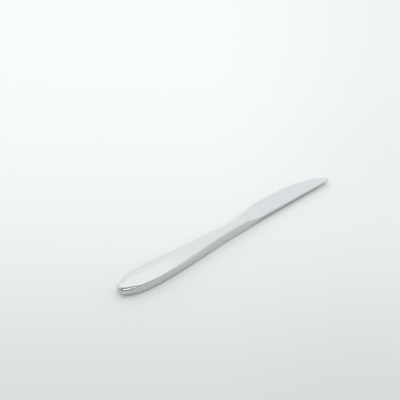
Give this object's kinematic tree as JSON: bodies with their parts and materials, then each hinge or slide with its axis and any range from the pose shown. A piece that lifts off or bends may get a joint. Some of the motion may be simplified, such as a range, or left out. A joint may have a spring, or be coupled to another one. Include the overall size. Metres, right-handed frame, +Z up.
{
  "type": "table knife",
  "caption": "Plain polished steel table knife: hollow handle with a rounded butt, tapering to a neck and bolster, and a thin blade with a straight spine, curved edge and rounded tip.",
  "frame": {"origin": "middle of the flat strip on the underside of the handle, on the surface that the knife lies on", "axes": "+X along the knife from the butt to the tip, +Y from the spine to the cutting edge, +Z up"},
  "size_m": [0.2245, 0.022, 0.008],
  "materials": {
    "blade_steel": "fine satin polish",
    "handle_steel": "bright polish with fine handling marks",
    "braze": "dull silver braze, dressed below the surface",
    "cement": "dry cast cement"
  },
  "bodies": {
    "root": {"blade": "blade_steel", "upper_handle_shell": "handle_steel", "lower_handle_shell": "handle_steel", "brazed_seam": "braze", "handle_filler": "cement"}
  },
  "joints": []
}
